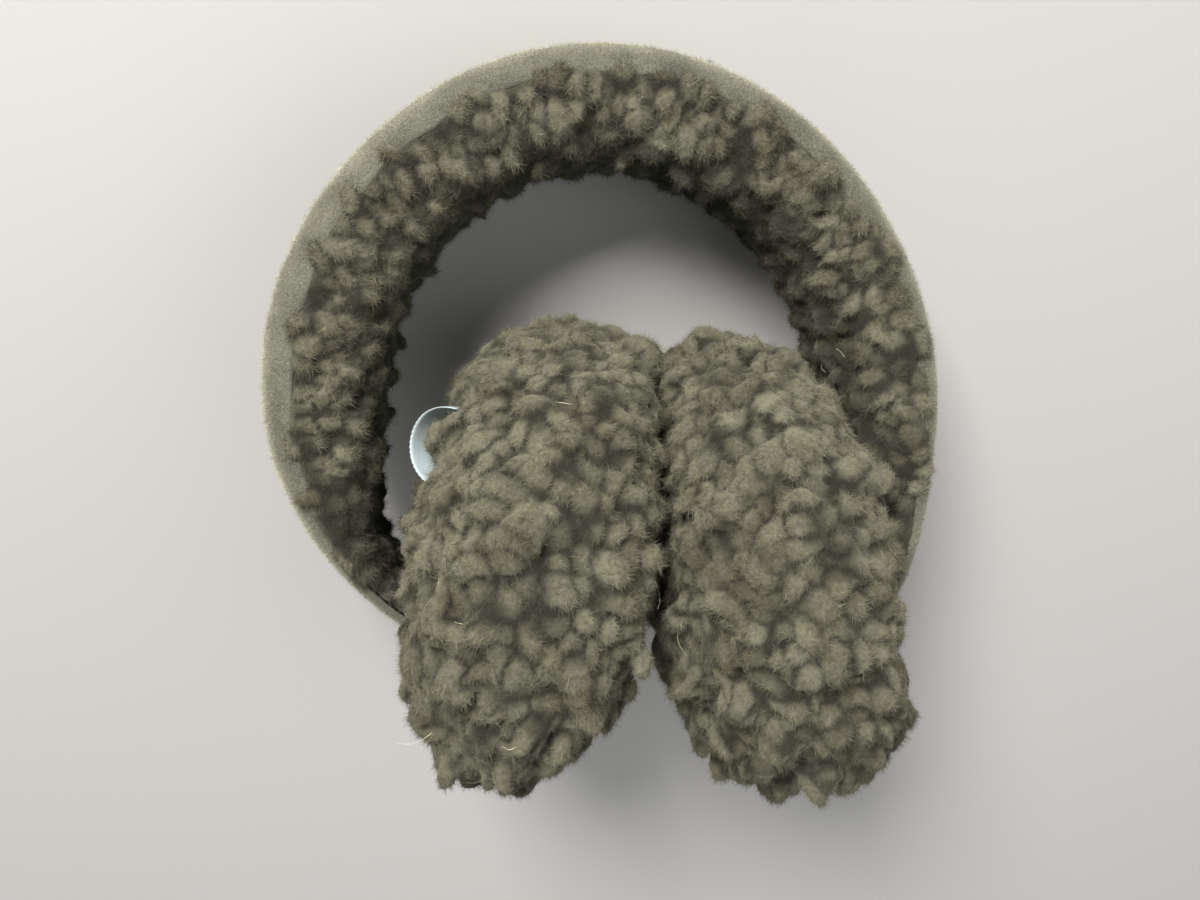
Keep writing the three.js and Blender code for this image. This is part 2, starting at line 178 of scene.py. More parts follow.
class Skin:
    """A surface as arrays of points, normals and triangles, with a tree for the nearest place."""

    def __init__(self, points, triangles):
        self.points = points
        self.triangles = triangles
        corners = points[triangles]
        across = np.cross(corners[:, 1] - corners[:, 0], corners[:, 2] - corners[:, 0])
        self.areas = np.linalg.norm(across, axis=1) / 2
        normals = np.zeros_like(points)
        for k in range(3):
            np.add.at(normals, triangles[:, k], across)
        self.normals = unit(normals)
        self.tree = BVHTree.FromPolygons(points.tolist(), triangles.tolist())

    def inset(self, depth):
        """The same surface, further in."""
        return Skin(self.points - self.normals * depth, self.triangles)

    def distance(self, points):
        """How far each point lies from the surface, on either side."""
        return np.array([self.tree.find_nearest(Vector(p))[3] for p in points.tolist()])

    def sample(self, count, weights, rng):
        """Random places on the surface, by area and weight: points and normals."""
        share = np.cumsum(self.areas * weights)
        chosen = np.searchsorted(share, rng.random(count) * share[-1])
        a, b = rng.random((2, count))
        over = a + b > 1
        a[over], b[over] = 1 - a[over], 1 - b[over]
        mix = np.stack([1 - a - b, a, b], axis=1)[:, :, None]
        corners = self.triangles[np.minimum(chosen, len(self.triangles) - 1)]
        return (self.points[corners] * mix).sum(1), unit((self.normals[corners] * mix).sum(1))


def arrays_of(mesh):
    """A mesh's points and triangles."""
    mesh.calc_loop_triangles()
    points = np.zeros(len(mesh.vertices) * 3, np.float32)
    mesh.vertices.foreach_get("co", points)
    triangles = np.zeros(len(mesh.loop_triangles) * 3, np.int32)
    mesh.loop_triangles.foreach_get("vertices", triangles)
    return points.reshape(-1, 3).astype(float), triangles.reshape(-1, 3)


def mesh_of(name, points, triangles):
    """A mesh of smooth triangles."""
    mesh = bpy.data.meshes.new(name)
    mesh.vertices.add(len(points))
    mesh.vertices.foreach_set("co", np.asarray(points, np.float32).ravel())
    mesh.loops.add(len(triangles) * 3)
    mesh.loops.foreach_set("vertex_index", np.asarray(triangles, np.int32).ravel())
    mesh.polygons.add(len(triangles))
    mesh.polygons.foreach_set("loop_start", np.arange(0, len(triangles) * 3, 3, dtype=np.int32))
    mesh.update(calc_edges=True)
    mesh.shade_smooth()
    return mesh


def link(name, mesh):
    """A new object with the mesh, in the scene."""
    piece = bpy.data.objects.new(name, mesh)
    bpy.context.scene.collection.objects.link(piece)
    return piece


def worked(mesh, *modifiers):
    """The points and triangles of a mesh after modifiers, each a type and its settings."""
    piece = link("being_worked", mesh)
    for kind, settings in modifiers:
        modifier = piece.modifiers.new(kind, kind)
        for key, value in settings.items():
            setattr(modifier, key, value)
    graph = bpy.context.evaluated_depsgraph_get()
    result = bpy.data.meshes.new_from_object(piece.evaluated_get(graph), depsgraph=graph)
    arrays = arrays_of(result)
    bpy.data.meshes.remove(result)
    bpy.data.objects.remove(piece)
    bpy.data.meshes.remove(mesh)
    return arrays


def node_skin(node):
    """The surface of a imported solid."""
    return Skin(*arrays_of(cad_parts[node].data))


def smooth_skin(node, grain, steps):
    """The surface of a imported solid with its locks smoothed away."""
    remesh = ("REMESH", {"mode": "VOXEL", "voxel_size": grain})
    smooth = ("SMOOTH", {"factor": 0.5, "iterations": steps})
    return Skin(*worked(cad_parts[node].data.copy(), remesh, smooth))


def joined(*parts):
    """Points and triangles of several surfaces as one."""
    points = np.concatenate([p for p, _ in parts])
    starts = np.cumsum([0] + [len(p) for p, _ in parts])
    return points, np.concatenate([t + s for (_, t), s in zip(parts, starts)])


def tubes(paths, radii, around):
    """Closed tubes along paths, an array of tube by step by place, with a radius at each step."""
    count, steps, _ = paths.shape
    along = unit(np.gradient(paths, axis=1))
    start = np.where(np.abs(along[:, :1, 2:]) < 0.9, [[[0.0, 0.0, 1.0]]], [[[1.0, 0.0, 0.0]]])
    side = unit(np.cross(along, np.broadcast_to(start, along.shape)))
    over = np.cross(along, side)
    turn = np.linspace(0, 2 * math.pi, around, endpoint=False)
    rings = (
        paths[:, :, None]
        + radii[:, :, None, None] * np.cos(turn)[None, None, :, None] * side[:, :, None]
        + radii[:, :, None, None] * np.sin(turn)[None, None, :, None] * over[:, :, None]
    )
    points = np.concatenate([rings.reshape(count, -1, 3), paths[:, :1], paths[:, -1:]], axis=1)
    triangles = []
    for i in range(steps - 1):
        for k in range(around):
            a = i * around + k
            b = i * around + (k + 1) % around
            triangles += [(a, b, b + around), (a, b + around, a + around)]
    foot = steps * around
    for k in range(around):
        following = (k + 1) % around
        triangles.append((foot, following, k))
        last = (steps - 1) * around
        triangles.append((foot + 1, last + k, last + following))
    each = points.shape[1]
    starts = np.arange(count)[:, None, None] * each
    return points.reshape(-1, 3), (np.array(triangles)[None] + starts).reshape(-1, 3)


# Wool


def scattered(skin, spacing_at, usable_at, rng):
    """Places on a skin, no two closer than the spacing there: points and normals."""
    least = spacing_at(skin.points).min()
    count = int(skin.areas.sum() / least**2 * 9)
    points, normals = skin.sample(count, np.ones(len(skin.triangles)), rng)
    usable = usable_at(points, normals)
    points, normals = points[usable], normals[usable]
    spacing = spacing_at(points)
    cells = {}
    kept = []
    size = spacing.max()
    for i, (place, gap) in enumerate(zip(points.tolist(), spacing.tolist())):
        cell = tuple(int(math.floor(c / size)) for c in place)
        near = [
            j
            for dx in (-1, 0, 1)
            for dy in (-1, 0, 1)
            for dz in (-1, 0, 1)
            for j in cells.get((cell[0] + dx, cell[1] + dy, cell[2] + dz), ())
        ]
        if all(math.dist(place, points[j]) >= gap for j in near):
            kept.append(i)
            cells.setdefault(cell, []).append(i)
    return points[kept], normals[kept]


def tree_of(points):
    """A tree that finds the nearest of the points."""
    tree = KDTree(len(points))
    for i, point in enumerate(points.tolist()):
        tree.insert(point, i)
    tree.balance()
    return tree


def cells(points, locks, lean, raised):
    """For each point its lock, and how near it is to the groove round it, from 0 to 1."""
    centres = locks["root"] + (locks["normal"] + locks["flow"] * lean) * raised
    tree = tree_of(centres)
    swayed = points + (drift(points, 7 * MM, 8) * 1.1 + drift(points, 2.5 * MM, 10) * 0.5) * MM
    near = np.array([[found[1] for found in tree.find_n(p, 7)] for p in swayed.tolist()])
    normals, flow = locks["normal"][near], locks["flow"][near]
    apart = swayed[:, None] - centres[near]
    apart -= normals * (apart * normals).sum(2, keepdims=True)
    along = (apart * flow).sum(2)
    square = (apart**2).sum(2) - along**2 * (1 - locks["stretch"][near] ** -2.0)
    away = np.sqrt(np.maximum(square, 0))
    own = near[np.arange(len(near)), away.argmin(1)]
    nearest, following = np.sort(away, axis=1)[:, :2].T
    return own, nearest / following


def patches(points):
    """How far the curls of a place stand apart, from 0.75 where they merge to 1."""
    return 0.75 + 0.25 * ease(-0.3, 0.25, drift(points, 15 * MM, 9)[:, 0])


def curled(skin, locks, rise, lean):
    """Points of a skin whose cells, one to a lock, swell to round curls that lean along the flow."""
    own, edge = cells(skin.points, locks, lean, 0)
    swell = np.sqrt(1 - patches(skin.points) * np.minimum(edge / 0.95, 1) ** 2.6)
    swell = swell * locks["height"][own] * rise
    return (
        skin.points
        + skin.normals * swell[:, None]
        + locks["flow"][own] * (swell * lean)[:, None]
    )


def lock_tubes(locks, chosen, wobble):
    """Free locks of wool: each rises from its root, bends over along the flow and ends round."""
    roots, normals, flow = (locks[part][chosen] for part in ("root", "normal", "flow"))
    length, radius, bend = (locks[part][chosen] for part in ("length", "radius", "bend"))
    wobble = wobble[chosen]
    steps = 9
    t = np.linspace(0, 1, steps)
    heading = bend[:, None] * t[None] ** 0.8
    direction = (
        normals[:, None] * np.cos(heading)[..., None] + flow[:, None] * np.sin(heading)[..., None]
    )
    side = np.cross(normals, flow)
    direction += side[:, None] * (wobble[:, None] * np.sin(t[None] * 5))[..., None]
    step = unit(direction) * (length / (steps - 1))[:, None, None]
    paths = roots[:, None] + np.cumsum(step, axis=1) - step[:, :1]
    paths = paths - normals[:, None] * radius[:, None, None] * 0.6
    full = 0.8 + 0.2 * np.sin(np.minimum(t * 1.4, 1) * math.pi / 2)
    closing = np.sqrt(1 - np.clip((t - 0.5) / 0.5, 0, 0.985) ** 2.4)
    radii = radius[:, None] * (full * closing)[None]
    return tubes(paths, radii, 8)


def fibres(roots, directions, lengths, widths, rng):
    """Fine straight fibres, each one long triangle turned at random."""
    across = unit(np.cross(directions, rng.normal(0, 1, roots.shape))) * (widths / 2)[:, None]
    tips = roots + directions * lengths[:, None]
    points = np.stack([roots - across, roots + across, tips], axis=1)
    return points.reshape(-1, 3), np.arange(len(roots) * 3).reshape(-1, 3)


def strays(skin, count, rng):
    """Long loose fibres that curl over the wool: their points and triangles."""
    places, out = skin.sample(count, np.ones(len(skin.triangles)), rng)
    steps = 16
    t = np.linspace(0, 1, steps)
    side = unit(np.cross(out, rng.normal(0, 1, out.shape)))
    over = np.cross(out, side)
    length = rng.uniform(4, 9, count)[:, None] * MM
    curl = rng.uniform(0.4, 1.3, count)[:, None] * MM
    winds = rng.uniform(2, 6, count)[:, None]
    paths = (
        places[:, None]
        + out[:, None] * (0.2 * MM + curl * np.sin(t * math.pi))[..., None]
        + side[:, None] * (length * t)[..., None]
        + over[:, None] * (curl * np.sin(t * winds))[..., None]
    )
    radii = np.full((count, steps), 0.065 * MM) * (1 - 0.5 * t)
    return tubes(paths, radii, 3)


def put_attribute(mesh, name, values):
    """A number at each point of a mesh, for its material."""
    mesh.attributes.new(name, "FLOAT", "POINT").data.foreach_set(
        "value", np.asarray(values, np.float32)
    )


def above_floor(points, least):
    """Points with those near or under the floor pressed flat on it."""
    soft = 0.8 * MM
    height = (points[:, 2] - least) / soft
    points[:, 2] = least + soft * np.logaddexp(0, height)
    return points


def fused_wool(skin, locks, rise, look, chosen, wobble):
    """The skin's curls and the chosen free locks fused in one surface, with small lumps."""
    body = joined(
        (curled(skin, locks, rise, look.lean), skin.triangles), lock_tubes(locks, chosen, wobble)
    )
    remesh = ("REMESH", {"mode": "VOXEL", "voxel_size": look.grain})
    smooth = ("SMOOTH", {"factor": 0.4, "iterations": 1})
    wool = Skin(*worked(mesh_of("wool", *body), remesh, smooth))
    points = wool.points + wool.normals * (
        drift(wool.points, 2.6 * MM, 3)[:, :1] * look.lumps
        + drift(wool.points, 1.3 * MM, 5)[:, :1] * look.lumps * 0.6
    )
    return Skin(above_floor(points, 2 * FLOOR_GAP), wool.triangles)


def grooves(points, edge, look):
    """How dark the painted shade in the grooves between the curls makes each place."""
    return look.groove * patches(points) * edge**GROOVE_SHADE_POWER


def make_fibres(name, wool, weights, skin, reach, locks, tone, look, rng):
    """The fibres of a piece of wool, combed along its locks, and its long stray ones."""
    places, out = wool.sample(look.fibre_count, weights, rng)
    own, edge = cells(places, locks, look.lean, GROOVE_HEIGHT)
    astray = unit(np.cross(out, rng.normal(0, 1, (len(places), 3))))
    rising = rng.uniform(0.05, 0.65, (len(places), 1))
    headings = unit(out * rising + locks["flow"][own] * look.combed + astray * 0.7)
    lengths = look.fibre_length * rng.uniform(0.5, 1.35, len(places))
    widths = look.fibre_width * rng.uniform(0.6, 1.2, len(places))
    starts = places - out * look.fibre_width
    hairs = fibres(starts, headings, lengths, widths, rng)
    # Painted shade: fibres low on the wool and in the grooves between the curls get a low lift and so a
    # darker colour, together with the wool's own darker roots; the locks' bright share adds their painted
    # shade.
    foot = np.clip(skin.distance(places) / reach, 0, 1) * (1 - grooves(places, edge, look))
    lift = np.clip(np.repeat(foot, 3) + np.tile([0, 0, 0.25], len(places)), 0, 1)
    lift *= np.repeat(locks["bright"][own], 3)
    own_tone = np.clip(0.5 + (tone[own] - 0.5) * 0.5 + rng.normal(0, 0.3, len(own)), 0, 1)
    loose = strays(wool, look.stray_count, rng)
    bright = np.ones(len(loose[0]))
    points, triangles = joined(hairs, loose)
    mesh = mesh_of(name, above_floor(points, FLOOR_GAP), triangles)
    put_attribute(mesh, "lift", np.concatenate([lift, bright]))
    put_attribute(mesh, "tone", np.concatenate([np.repeat(own_tone, 3), bright * 4]))
    return link(name, mesh)


def grow_wool(name, skin, locks, rise, look, rng):
    """Makes a piece's wool and its fibres: curls and locks on a skin, fused, and fibres on them."""
    count = len(locks["root"])
    tone = rng.random(count)
    wobble = rng.normal(0, 0.35, count)
    wool = fused_wool(skin, locks, rise, look, rng.random(count) < locks["free"], wobble)
    lift = skin.distance(wool.points)
    reach = np.percentile(lift, 80)
    nearest, edge = cells(wool.points, locks, look.lean, GROOVE_HEIGHT)
    free = ease(1.0, 1.5, lift / reach)
    # Painted shade: the lift darkens the wool in the grooves between the curls and near the skin, together
    # with the wool's own darker roots, and the locks' bright share adds their painted shade.
    high = np.clip(lift / reach, 0, 1) * (1 - grooves(wool.points, edge, look) * (1 - free))
    mesh = mesh_of(name, wool.points, wool.triangles)
    put_attribute(mesh, "lift", high * locks["bright"][nearest])
    put_attribute(mesh, "tone", tone[nearest])
    piece = link(name, mesh)
    weights = ((0.06 + high) * locks["dense"][nearest])[wool.triangles].mean(1)
    hairs = make_fibres(name + "_fibres", wool, weights, skin, reach, locks, tone, look, rng)
    return piece, hairs


# Materials


def new_material(name):
    """An empty material with its output and its Principled shader."""
    material = bpy.data.materials.new(name)
    material.use_nodes = True
    tree = material.node_tree
    tree.nodes.clear()
    output = tree.nodes.new("ShaderNodeOutputMaterial")
    shader = tree.nodes.new("ShaderNodeBsdfPrincipled")
    tree.links.new(shader.outputs["BSDF"], output.inputs["Surface"])
    return material, tree, shader


def add_node(tree, kind, inputs=None, **settings):
    """A node with its settings and inputs. An input is a value or the socket that feeds it."""
    node = tree.nodes.new(kind)
    for key, value in settings.items():
        setattr(node, key, value)
    for key, value in (inputs or {}).items():
        if isinstance(value, bpy.types.NodeSocket):
            tree.links.new(value, node.inputs[key])
        else:
            node.inputs[key].default_value = value
    return node


FLOAT = "NodeSocketFloat"
COLOUR = "NodeSocketColor"


def texture(tree, scale, detail, distortion=0.0):
    """Soft noise over a piece."""
    place = add_node(tree, "ShaderNodeTexCoord").outputs["Object"]
    inputs = {"Vector": place, "Scale": scale, "Detail": detail, "Distortion": distortion}
    return add_node(tree, "ShaderNodeTexNoise", inputs).outputs[0]


def ranged(tree, value, low, high, start=0.0, end=1.0, **settings):
    """A value from start to end, brought to low to high."""
    inputs = {"Value": value, "From Min": start, "From Max": end, "To Min": low, "To Max": high}
    return add_node(tree, "ShaderNodeMapRange", inputs, **settings).outputs[0]


def mottle_group():
    """Two colours mixed in soft clouds of two sizes, as in wool and suede."""
    if "Mottle" in bpy.data.node_groups:
        return bpy.data.node_groups["Mottle"]
    tree = bpy.data.node_groups.new("Mottle", "ShaderNodeTree")
    for name, kind, default in (
        ("Dark", COLOUR, (0.1, 0.1, 0.1, 1)),
        ("Light", COLOUR, (0.2, 0.2, 0.2, 1)),
        ("Cloud Scale", FLOAT, 60),
        ("Speck Scale", FLOAT, 900),
        ("Speck Share", FLOAT, 0.4),
    ):
        socket = tree.interface.new_socket(name, in_out="INPUT", socket_type=kind)
        socket.default_value = default
    tree.interface.new_socket("Colour", in_out="OUTPUT", socket_type=COLOUR)
    given, made = tree.nodes.new("NodeGroupInput"), tree.nodes.new("NodeGroupOutput")
    cloud = texture(tree, given.outputs["Cloud Scale"], 3.0)
    speck = texture(tree, given.outputs["Speck Scale"], 2.0)
    value = add_node(
        tree,
        "ShaderNodeMix",
        {0: given.outputs["Speck Share"], 2: cloud, 3: speck},
        data_type="FLOAT",
    )
    spread = ranged(tree, value.outputs[0], 0.0, 1.0, 0.34, 0.66, interpolation_type="SMOOTHSTEP")
    colour = add_node(
        tree,
        "ShaderNodeMix",
        {0: spread, 6: given.outputs["Dark"], 7: given.outputs["Light"]},
        data_type="RGBA",
    )
    tree.links.new(colour.outputs[2], made.inputs["Colour"])
    return tree


def mottled(tree, dark, light, cloud_scale, speck_scale, speck_share):
    """The colour of a mottle in a material."""
    inputs = {
        "Dark": dark,
        "Light": light,
        "Cloud Scale": cloud_scale,
        "Speck Scale": speck_scale,
        "Speck Share": speck_share,
    }
    return add_node(tree, "ShaderNodeGroup", inputs, node_tree=mottle_group()).outputs["Colour"]


def attribute(tree, name):
    """A number that a mesh carries at its points."""
    return add_node(tree, "ShaderNodeAttribute", attribute_name=name).outputs["Fac"]


def darkened(tree, colour, share):
    """A colour times a share that varies over the piece."""
    inputs = {0: 1.0, 6: colour, 7: share}
    mix = add_node(tree, "ShaderNodeMix", inputs, data_type="RGBA", blend_type="MULTIPLY")
    return mix.outputs[2]


def add_bump(tree, shader, height, strength, distance):
    """Fine relief from a texture, on the shader."""
    inputs = {"Strength": strength, "Distance": distance, "Height": height}
    bump = add_node(tree, "ShaderNodeBump", inputs)
    tree.links.new(bump.outputs[0], shader.inputs["Normal"])


def set_inputs(shader, values):
    """Constant values on a shader's own sockets."""
    for name, value in values.items():
        shader.inputs[name].default_value = value


def shade(colour, share):
    """A colour made darker or lighter by a share."""
    return (*(c * share for c in colour[:3]), 1)


def wool_material(name, settings, tip_share, tone_spread):
    """Matte wool: dark at the roots and in the grooves, partly the wool's own darker roots and partly
    painted shade, pale at the tips, each lock of its own tone.
    """
    if name in bpy.data.materials:
        return bpy.data.materials[name]
    material, tree, shader = new_material(name)
    dark, light = shade(settings.brown, tip_share), shade(settings.grey, tip_share)
    mottle = mottled(tree, dark, light, 70.0, 900.0, 0.45)
    lift, tone = attribute(tree, "lift"), attribute(tree, "tone")
    # Painted shade with the wool's own tone: a low lift darkens the colour down to the root share.
    depth = ranged(tree, lift, settings.root_tone_and_shade, 1.0, 0.15, interpolation_type="SMOOTHSTEP")
    own = ranged(tree, tone, 1 - tone_spread, 1 + tone_spread, clamp=False)
    both = add_node(tree, "ShaderNodeMath", {0: depth, 1: own}, operation="MULTIPLY")
    tree.links.new(darkened(tree, mottle, both.outputs[0]), shader.inputs["Base Color"])
    set_inputs(
        shader,
        {
            "Roughness": 0.95,
            "Specular IOR Level": 0.2,
            "Sheen Weight": 0.35,
            "Sheen Roughness": 0.6,
            "Sheen Tint": shade(settings.grey, 3),
        },
    )
    add_bump(tree, shader, texture(tree, 1700.0, 3.0, 1.5), 0.8, 0.5 * MM)
    return material


def suede_material(name, settings, share):
    """Suede with a fine nap: mottled, speckled and soft to the light, with painted shade darker by its edge
    at the fleece and a little painted light across its middle.
    """
    material, tree, shader = new_material(name)
    dark, light = shade(settings.colour, 0.6 * share), shade(settings.colour, 1.45 * share)
    mottle = mottled(tree, dark, light, 110.0, 2600.0, 0.6)
    # Painted shade: the colour goes from 1.1 across the suede's middle down to the edge share by the
    # fleece, where the wool shades it.
    suede_painted_shade = ranged(tree, attribute(tree, "edge"), 1.1, settings.edge_painted_shade)
    tree.links.new(darkened(tree, mottle, suede_painted_shade), shader.inputs["Base Color"])
    set_inputs(
        shader,
        {
            "Roughness": 0.9,
            "Specular IOR Level": 0.25,
            "Sheen Weight": 0.6,
            "Sheen Roughness": 0.45,
            "Sheen Tint": shade(settings.colour, 3.5),
        },
    )
    add_bump(tree, shader, texture(tree, 1500.0, 4.0, 0.8), 0.7, 0.35 * MM)
    return material


def ribbon_material(settings):
    """Pale satin ribbon with fine ribs across it."""
    material, tree, shader = new_material("Satin Ribbon")
    place = add_node(
        tree,
        "ShaderNodeCombineXYZ",
        {"X": attribute(tree, "along"), "Y": attribute(tree, "across")},
    )
    ribs = add_node(
        tree,
        "ShaderNodeTexWave",
        {"Vector": place.outputs[0], "Scale": 700.0, "Distortion": 0.6, "Detail": 1.0},
        bands_direction="X",
    )
    dark, light = shade(settings.colour, 0.9), shade(settings.colour, 1.06)
    mottle = mottled(tree, dark, light, 150.0, 2200.0, 0.4)
    tree.links.new(mottle, shader.inputs["Base Color"])
    set_inputs(shader, {"Roughness": 0.42, "Sheen Weight": 0.15})
    add_bump(tree, shader, ribs.outputs[0], 0.35, 0.08 * MM)
    return material


def floor_material(settings):
    """A plain pale floor."""
    material, _, shader = new_material("Pale Floor")
    set_inputs(shader, {"Base Color": (*settings.floor_colour, 1), "Roughness": 0.85})
    return material


# Settings


def colour_setting(name, description, default):
    """A colour in a settings group."""
    return bpy.props.FloatVectorProperty(
        name=name, description=description, subtype="COLOR", size=3, min=0, max=1, default=default
    )


def share_setting(name, description, default):
    """A share from 0 to 1 in a settings group."""
    return bpy.props.FloatProperty(
        name=name, description=description, default=default, min=0, max=1, subtype="FACTOR"
    )


def number_setting(name, description, default, least, most):
    """A plain number in a settings group."""
    return bpy.props.FloatProperty(
        name=name, description=description, default=default, min=least, max=most
    )


def count_setting(name, description, default, least=0):
    """A number of things in a settings group."""
    return bpy.props.IntProperty(name=name, description=description, default=default, min=least)


def length_setting(name, description, default, least=0):
    """A length in a settings group."""
    return bpy.props.FloatProperty(
        name=name, description=description, default=default, min=least, unit="LENGTH"
    )


def angle_setting(name, description, degrees):
    """An angle in a settings group."""
    return bpy.props.FloatProperty(
        name=name, description=description, default=math.radians(degrees), subtype="ANGLE"
    )


class WoolSettings(bpy.types.PropertyGroup):
    """Wool of the pads and the band."""

    brown: colour_setting("Brown wool", "Colour of the darker clouds in the wool", (0.1, 0.089, 0.058))
    grey: colour_setting("Grey wool", "Colour of the paler clouds in the wool", (0.186, 0.184, 0.13))
    # Painted shade with the wool's own darker roots: how dark the wool is between the locks.
    root_tone_and_shade: share_setting(
        "Root shade", "How bright the wool is between the locks, as a share", 0.09
    )
    grain: length_setting(
        "Grain", "Size of the smallest form in the fused wool", 1.0 * MM, 0.5 * MM
    )
    pad_rise: length_setting("Pad curls", "How far the highest curls of the pads rise", 5.4 * MM)
    band_rise: length_setting("Band curls", "How far the highest curls of the band rise", 4.0 * MM)
    lean: number_setting(
        "Lean", "How far a curl leans along its flow, as a share of its height", 0.45, 0, 1.5
    )
    # Painted shade: how dark the grooves between the curls are painted.
    groove: share_setting("Groove", "How dark the grooves between the curls are", 0.92)
    lumps: length_setting("Lumps", "How far small lumps stand out of the locks", 0.5 * MM)
    combed: number_setting("Combed", "How much fibres lie along their lock", 0.7, 0, 2)
    fibre_count: count_setting("Fibres", "Number of fibres on each pad and on the band", 150000)
    stray_count: count_setting(
        "Stray fibres", "Number of long loose fibres on each pad and on the band", 14, 1
    )
    fibre_length: length_setting("Fibre length", "Usual length of a fibre", 2.2 * MM)
    fibre_width: length_setting("Fibre width", "Usual width of a fibre at its root", 0.12 * MM)


class SuedeSettings(bpy.types.PropertyGroup):
    """Suede of the band."""

    colour: colour_setting("Suede colour", "Colour of the suede", (0.15, 0.148, 0.112))
    # Painted shade: how dark the suede is made by its edge at the fleece.
    edge_painted_shade: share_setting(
        "Edge shade", "How bright the suede is at its edge by the fleece, as a share", 0.72
    )
    nap_count: count_setting("Nap fibres", "Number of short fibres on the suede", 60000)
    turn: angle_setting(
        "Suede turn", "How far the suede turns round the band's section, each way from its middle", 76
    )
    swell: length_setting(
        "Swell", "How far the suede stands up and falls in along the band", 0.15 * MM
    )


class RibbonSettings(bpy.types.PropertyGroup):
    """The ribbon loop."""

    colour: colour_setting("Ribbon colour", "Colour of the ribbon", (0.56, 0.66, 0.68))
    width: length_setting("Ribbon width", "Width of the ribbon without its picots", 10.6 * MM)
    wall: length_setting("Ribbon wall", "Thickness of the ribbon", 0.5 * MM)


class StageSettings(bpy.types.PropertyGroup):
    """Floor, light and camera."""

    floor_colour: colour_setting("Floor colour", "Colour of the floor", (0.47, 0.465, 0.45))
    camera_distance: length_setting(
        "Camera distance", "From the camera to the ring's centre", 300 * MM
    )
    camera_turn: angle_setting(
        "Camera turn", "How far to the left of the ring's front the camera stands", 6
    )
    camera_rise: angle_setting(
        "Camera rise", "How far above the ring's front the camera stands", 5
    )
    lens: number_setting("Lens", "Focal length in mm on a sensor 36 mm wide", 35, 1, 500)


# Pieces


def dress(piece, material, replaces=()):
    """Gives a piece its material and slot, lets it ride, and hides the solids it stands for."""
    piece.data.materials.clear()
    piece.data.materials.append(material)
    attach(piece, "root")
    if replaces:
        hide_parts(*replaces)


def dress_wool(piece, hairs, wool, node):
    """Gives a piece of wool and its fibres their materials, in the place of a solid."""
    dress(piece, wool_material("Sheepskin Wool", wool, 0.85, 0.14), [node])
    dress(hairs, wool_material("Wool Fibres", wool, 1.25, 0.5))


def pad_locks(side, skin, others, rng):
    """The locks of a pad: round curls at mid-height, finer above, long hanging locks below."""
    place = pad_matrix(side)
    home = place.inverted()

    def height_at(points):
        return moved(home, points)[:, 2] / PAD_RADIUS

    def spacing_at(points):
        height = height_at(points)
        usual = 4.7 - 0.7 * ease(0.3, 0.9, height) - 0.5 * ease(0.2, 0.7, -height)
        return usual * (1 + 0.3 * drift(points, 13 * MM, 7)[:, 0]) * MM

    def clear_at(points):
        return np.min([other.distance(points) for other in others], axis=0)

    def usable_at(points, normals):
        return clear_at(points + normals * MM) > 0.6 * MM

    roots, normals = scattered(skin, spacing_at, usable_at, rng)
    count = len(roots)
    inside = moved(home, roots)
    height = inside[:, 2] / PAD_RADIUS
    low = ease(0.2, 0.75, -height)
    fine = ease(0.3, 0.9, height)
    radial = unit(inside * [0, 1, 1])
    sideways = np.zeros_like(inside)
    sideways[:, 0] = np.sign(inside[:, 0]) * ease(0, 12 * MM, np.abs(inside[:, 0]))
    down = np.array([0, 0, -1.0])
    local = (
        radial * (0.2 + 0.8 * low)[:, None]
        + sideways * (0.9 * (1 - low))[:, None]
        + down * (0.45 + 0.6 * low)[:, None]
        + drift(inside, 17 * MM, 2) * 1.5
        + rng.normal(0, 0.25, (count, 3))
    )
    wanted = turned(place, local)
    flow = unit(wanted - normals * (wanted * normals).sum(1, keepdims=True))
    room = ease(1 * MM, 7 * MM, clear_at(roots + normals * 2 * MM))
    under = ease(0.3, 0.95, -turned(home, normals)[:, 2])
    rim = ease(0.4, 0.95, 1 - np.abs(turned(home, normals)[:, 1]))
    beside = ease(11 * MM, 20 * MM, np.abs(inside[:, 0])) * (1 - low)
    return {
        "root": roots,
        "normal": normals,
        "flow": flow,
        "length": rng.uniform(9, 13, count)
        * MM
        * (1 - 0.5 * under - 0.3 * rim)
        * (0.4 + 0.6 * room),
        "radius": rng.uniform(2.1, 2.9, count) * MM * (1 - 0.1 * low) * (0.8 + 0.2 * room),
        "bend": rng.uniform(1.35, 1.9, count) + 0.3 * rim * low,
        "stretch": 1 + 1.3 * rng.random(count) ** 2 + 0.5 * low + 0.4 * beside,
        "height": rng.uniform(0.5, 1.05, count) * (0.35 + 0.65 * room) * (1 - 0.1 * low),
        "free": (0.12 + 0.4 * low) * (1 - fine),
        # Painted shade: the low locks under the pad are made up to a fifth darker, where the light from
        # above leaves them in shade.
        "bright": 1 - 0.2 * low,
        "dense": np.ones(count),
    }


def make_pads(wool):
    """Both ear pads."""
    band = [node_skin("headband_suede"), node_skin("headband_fleece")]
    pads = {side: node_skin("ear_pad_" + side) for side in PADS}
    label = node_skin("label_loop")
    for side in PADS:
        rng = np.random.default_rng(PAD_SEEDS[side])
        other = pads["right" if side == "left" else "left"]
        skin = smooth_skin("ear_pad_" + side, 1.2 * MM, 70).inset(2.6 * MM)
        locks = pad_locks(side, skin, [*band, other, label], rng)
        piece, hairs = grow_wool("pad_wool_" + side, skin, locks, wool.pad_rise, wool, rng)
        dress_wool(piece, hairs, wool, "ear_pad_" + side)


def band_share(points):
    """How much wool a place on the band carries: none at the band's thin ends, behind the pads."""
    inside = moved(RING.inverted(), points)
    angle = np.degrees(np.arctan2(inside[:, 2], inside[:, 0]))
    angle = np.where(angle < -90, angle + 360, angle)
    return ease(-42, -30, angle) * (1 - ease(216, 228, angle))


